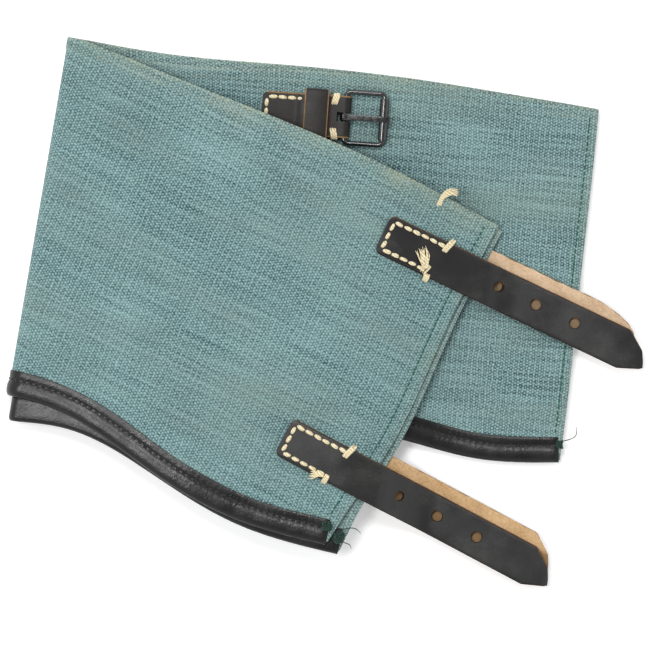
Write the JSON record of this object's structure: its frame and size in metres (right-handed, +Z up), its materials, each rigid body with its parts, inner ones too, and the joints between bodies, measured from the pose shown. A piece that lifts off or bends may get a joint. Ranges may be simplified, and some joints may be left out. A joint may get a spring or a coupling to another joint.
{
  "type": "ankle gaiters",
  "caption": "Pair of short canvas ankle gaiters with leather binding, buckled leather straps and roller buckles, folded in half with one nested in the other.",
  "frame": {"origin": "centre of the base of the folded pair's bounding box, on the surface that it lies on", "axes": "+X across the pair, from the fold towards the open side; +Y towards the gaiters' upper edges; +Z up"},
  "size_m": [0.3132, 0.2672, 0.0265],
  "materials": {
    "canvas": "coarse plain-weave cotton canvas, blue-grey",
    "binding_leather": "thin black garment leather, rolled over the edge",
    "strap_leather": "black strap leather, tan flesh side",
    "chape_leather": "black strap leather with tan cut edges",
    "green_thread": "dark green sewing thread",
    "black_thread": "black sewing thread",
    "waxed_thread": "cream waxed linen thread",
    "buckle_metal": "black japanned steel wire",
    "roller_metal": "black japanned sheet steel"
  },
  "bodies": {
    "left_back": {"left_back_canvas": "canvas", "left_back_binding": "binding_leather", "left_back_hem_thread": "green_thread", "left_back_binding_thread": "black_thread", "left_fold_canvas": "canvas", "left_fold_binding": "binding_leather", "left_upper_chape": "chape_leather", "left_upper_keeper": "chape_leather", "left_upper_chape_stitches": "waxed_thread", "left_lower_chape": "chape_leather", "left_lower_keeper": "chape_leather", "left_lower_chape_stitches": "waxed_thread"},
    "left_front": {"left_front_canvas": "canvas", "left_front_binding": "binding_leather", "left_front_hem_thread": "green_thread", "left_front_binding_thread": "black_thread", "left_upper_strap_root": "strap_leather", "left_upper_strap_stitches": "waxed_thread", "left_lower_strap_root": "strap_leather", "left_lower_strap_stitches": "waxed_thread"},
    "left_upper_strap_end": {"left_upper_strap": "strap_leather"},
    "left_upper_frame": {"left_upper_buckle_frame": "buckle_metal"},
    "left_upper_prong_body": {"left_upper_prong": "buckle_metal"},
    "left_upper_roller_body": {"left_upper_roller": "roller_metal"},
    "left_lower_strap_end": {"left_lower_strap": "strap_leather"},
    "left_lower_frame": {"left_lower_buckle_frame": "buckle_metal"},
    "left_lower_prong_body": {"left_lower_prong": "buckle_metal"},
    "left_lower_roller_body": {"left_lower_roller": "roller_metal"},
    "right_back": {"right_back_canvas": "canvas", "right_back_binding": "binding_leather", "right_back_hem_thread": "green_thread", "right_back_binding_thread": "black_thread", "right_fold_canvas": "canvas", "right_fold_binding": "binding_leather", "right_upper_chape": "chape_leather", "right_upper_keeper": "chape_leather", "right_upper_chape_stitches": "waxed_thread", "right_lower_chape": "chape_leather", "right_lower_keeper": "chape_leather", "right_lower_chape_stitches": "waxed_thread"},
    "right_front": {"right_front_canvas": "canvas", "right_front_binding": "binding_leather", "right_front_hem_thread": "green_thread", "right_front_binding_thread": "black_thread", "right_upper_strap_root": "strap_leather", "right_upper_strap_stitches": "waxed_thread", "right_lower_strap_root": "strap_leather", "right_lower_strap_stitches": "waxed_thread"},
    "right_upper_strap_end": {"right_upper_strap": "strap_leather"},
    "right_upper_frame": {"right_upper_buckle_frame": "buckle_metal"},
    "right_upper_prong_body": {"right_upper_prong": "buckle_metal"},
    "right_upper_roller_body": {"right_upper_roller": "roller_metal"},
    "right_lower_strap_end": {"right_lower_strap": "strap_leather"},
    "right_lower_frame": {"right_lower_buckle_frame": "buckle_metal"},
    "right_lower_prong_body": {"right_lower_prong": "buckle_metal"},
    "right_lower_roller_body": {"right_lower_roller": "roller_metal"}
  },
  "joints": [
    {"name": "left_fold", "type": "hinge", "parent": "left_back", "child": "left_front", "pos_m": [-0.13844, 0.02382, 0.0077], "axis": [-0.1668, -0.986, 0], "range_deg": [0, 172], "deforming": ["left_fold_canvas", "left_fold_binding"]},
    {"name": "right_pull_out", "type": "slide", "parent": "left_back", "child": "right_back", "axis": [0.1668, 0.986, 0], "range_m": [0, 0.25]},
    {"name": "right_fold", "type": "hinge", "parent": "right_back", "child": "right_front", "pos_m": [-0.13844, 0.02382, 0.0077], "axis": [-0.1668, -0.986, 0], "range_deg": [0, 172], "deforming": ["right_fold_canvas", "right_fold_binding"]},
    {"name": "left_upper_strap_bend", "type": "hinge", "parent": "left_front", "child": "left_upper_strap_end", "pos_m": [0.07458, 0.01577, 0.01535], "axis": [0.4305, 0.9026, 0], "range_deg": [-80, 0]},
    {"name": "left_lower_strap_bend", "type": "hinge", "parent": "left_front", "child": "left_lower_strap_end", "pos_m": [0.02423, -0.08407, 0.02354], "axis": [0.4695, 0.8829, 0], "range_deg": [-80, 0]},
    {"name": "right_upper_strap_bend", "type": "hinge", "parent": "right_front", "child": "right_upper_strap_end", "pos_m": [0.0819, 0.01904, 0.00772], "axis": [0.4305, 0.9026, 0], "range_deg": [-76, 0]},
    {"name": "right_lower_strap_bend", "type": "hinge", "parent": "right_front", "child": "right_lower_strap_end", "pos_m": [0.03168, -0.08112, 0.01586], "axis": [0.4695, 0.8829, 0], "range_deg": [-76, 0]},
    {"name": "left_upper_buckle_tilt", "type": "hinge", "parent": "left_back", "child": "left_upper_frame", "pos_m": [0.00899, 0.09507, 0.0051], "axis": [0.0698, 0.9976, 0], "range_deg": [0, 70]},
    {"name": "left_upper_prong_lift", "type": "hinge", "parent": "left_upper_frame", "child": "left_upper_prong_body", "pos_m": [0.00899, 0.09507, 0.0051], "axis": [0.0698, 0.9976, 0], "range_deg": [0, 35]},
    {"name": "left_upper_roller_spin", "type": "hinge", "parent": "left_upper_frame", "child": "left_upper_roller_body", "pos_m": [0.02775, 0.09376, 0.0051], "axis": [0.0698, 0.9976, 0], "continuous": true},
    {"name": "left_lower_buckle_tilt", "type": "hinge", "parent": "left_back", "child": "left_lower_frame", "pos_m": [-0.0037, -0.01953, 0.0051], "axis": [0.0698, 0.9976, 0], "range_deg": [0, 70]},
    {"name": "left_lower_prong_lift", "type": "hinge", "parent": "left_lower_frame", "child": "left_lower_prong_body", "pos_m": [-0.0037, -0.01953, 0.0051], "axis": [0.0698, 0.9976, 0], "range_deg": [0, 35]},
    {"name": "left_lower_roller_spin", "type": "hinge", "parent": "left_lower_frame", "child": "left_lower_roller_body", "pos_m": [0.01505, -0.02084, 0.0051], "axis": [0.0698, 0.9976, 0], "continuous": true},
    {"name": "right_upper_buckle_tilt", "type": "hinge", "parent": "right_back", "child": "right_upper_frame", "pos_m": [0.00899, 0.09507, 0.0145], "axis": [-0.0698, -0.9976, 0], "range_deg": [0, 70]},
    {"name": "right_upper_prong_lift", "type": "hinge", "parent": "right_upper_frame", "child": "right_upper_prong_body", "pos_m": [0.00899, 0.09507, 0.0145], "axis": [-0.0698, -0.9976, 0], "range_deg": [0, 35]},
    {"name": "right_upper_roller_spin", "type": "hinge", "parent": "right_upper_frame", "child": "right_upper_roller_body", "pos_m": [0.02775, 0.09376, 0.0145], "axis": [-0.0698, -0.9976, 0], "continuous": true},
    {"name": "right_lower_buckle_tilt", "type": "hinge", "parent": "right_back", "child": "right_lower_frame", "pos_m": [-0.0037, -0.01953, 0.0145], "axis": [-0.0698, -0.9976, 0], "range_deg": [0, 2]},
    {"name": "right_lower_prong_lift", "type": "hinge", "parent": "right_lower_frame", "child": "right_lower_prong_body", "pos_m": [-0.0037, -0.01953, 0.0145], "axis": [-0.0698, -0.9976, 0], "range_deg": [0, 1.2]},
    {"name": "right_lower_roller_spin", "type": "hinge", "parent": "right_lower_frame", "child": "right_lower_roller_body", "pos_m": [0.01505, -0.02084, 0.0145], "axis": [-0.0698, -0.9976, 0], "continuous": true}
  ],
  "couplings": [
    {"joint": "right_fold", "follows": "left_fold", "ratio": 1},
    {"joint": "right_upper_strap_bend", "follows": "left_upper_strap_bend", "ratio": 0.95},
    {"joint": "right_lower_strap_bend", "follows": "left_lower_strap_bend", "ratio": 0.95}
  ]
}
